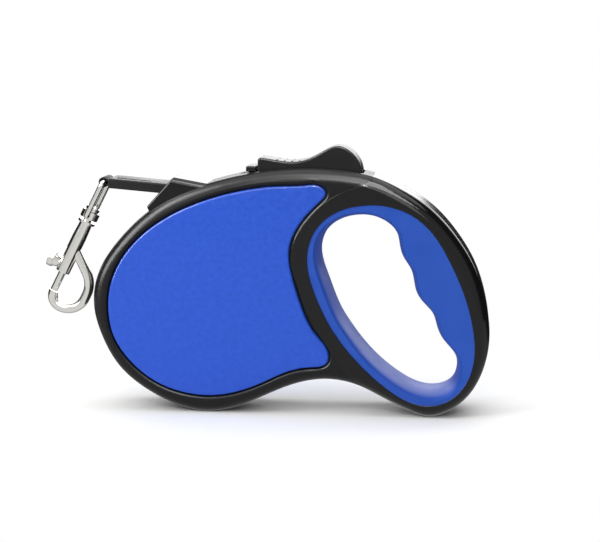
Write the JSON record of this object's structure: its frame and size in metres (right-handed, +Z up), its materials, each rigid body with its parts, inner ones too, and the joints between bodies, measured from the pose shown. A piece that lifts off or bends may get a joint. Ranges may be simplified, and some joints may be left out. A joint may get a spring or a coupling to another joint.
{
  "type": "retractable leash",
  "caption": "Retractable dog leash with an oval reel case, looped soft-grip handle, thumb brake button, lock slider, tape and swivel snap hook.",
  "frame": {"origin": "on the surface the case stands on, at the flat under the reel, straight below the reel's axle and midway through the thickness", "axes": "+X from the hook side to the handle, along the length; +Y from the front face to the rear face; +Z up"},
  "size_m": [0.2105, 0.0342, 0.1247],
  "materials": {
    "shell_black": "satin moulded ABS",
    "cover_black": "high gloss ABS",
    "panel_blue": "fine leather grain",
    "grip_blue": "smooth soft-touch elastomer",
    "button_black": "satin moulded ABS",
    "tape_black": "woven nylon tape",
    "hook_chrome": "polished plating on zinc casting",
    "steel": "zinc plated",
    "reel_plastic": "natural acetal"
  },
  "bodies": {
    "case": {"front_shell": "shell_black", "rear_shell": "shell_black", "front_panel": "panel_blue", "rear_panel": "panel_blue", "front_handle_cover": "cover_black", "rear_handle_cover": "cover_black", "grip_liner": "grip_blue", "case_screws": "steel", "outlet_nozzle": "cover_black", "guide_pin": "steel", "reel_axle": "reel_plastic", "axle_screw": "steel", "button_pin": "steel", "button_spring": "steel", "tape_run": "tape_black"},
    "reel": {"spool": "reel_plastic", "spool_cap": "reel_plastic", "cap_screws": "steel", "power_spring": "steel", "tape_roll": "tape_black"},
    "button": {"brake_button": "button_black"},
    "lock": {"lock_slider": "button_black"},
    "lead": {"tape_stop": "button_black", "tape_end": "tape_black"},
    "eye": {"hook_eye": "hook_chrome"},
    "hook": {"hook_body": "hook_chrome", "bolt_spring": "steel"},
    "bolt": {"hook_bolt": "hook_chrome"}
  },
  "joints": [
    {"name": "tape_payout", "type": "slide", "parent": "case", "child": "lead", "axis": [-0.9964, 0, 0.0845], "range_m": [0, 0.29793], "stiffness_N_per_m": 5, "springref_m": -0.6, "deforming": ["tape_run"]},
    {"name": "reel_spin", "type": "hinge", "parent": "case", "child": "reel", "pos_m": [0, 0, 0.05], "axis": [0, -1, 0], "range_deg": [-1, 401], "deforming": ["power_spring"]},
    {"name": "brake_press", "type": "hinge", "parent": "case", "child": "button", "pos_m": [0.066, 0, 0.1097], "axis": [0, -1, 0], "range_deg": [0, 4], "stiffness_Nm_per_rad": 2, "springref_deg": -2.86, "deforming": ["button_spring"]},
    {"name": "lock_slide", "type": "slide", "parent": "case", "child": "lock", "axis": [-1, 0, 0], "range_m": [0, 0.0035]},
    {"name": "hook_swing", "type": "hinge", "parent": "lead", "child": "eye", "pos_m": [-0.0453, 0, 0.1068], "axis": [0, 1, 0], "range_deg": [0, 130]},
    {"name": "hook_swivel", "type": "hinge", "parent": "eye", "child": "hook", "pos_m": [-0.0453, 0, 0.1068], "axis": [0.454, 0, 0.891], "continuous": true},
    {"name": "bolt_slide", "type": "slide", "parent": "hook", "child": "bolt", "axis": [0.454, 0, 0.891], "range_m": [0, 0.007], "stiffness_N_per_m": 400, "springref_m": -0.004, "deforming": ["bolt_spring"]}
  ],
  "couplings": [
    {"joint": "reel_spin", "follows": "tape_payout", "rad_per_m": 23.433}
  ]
}
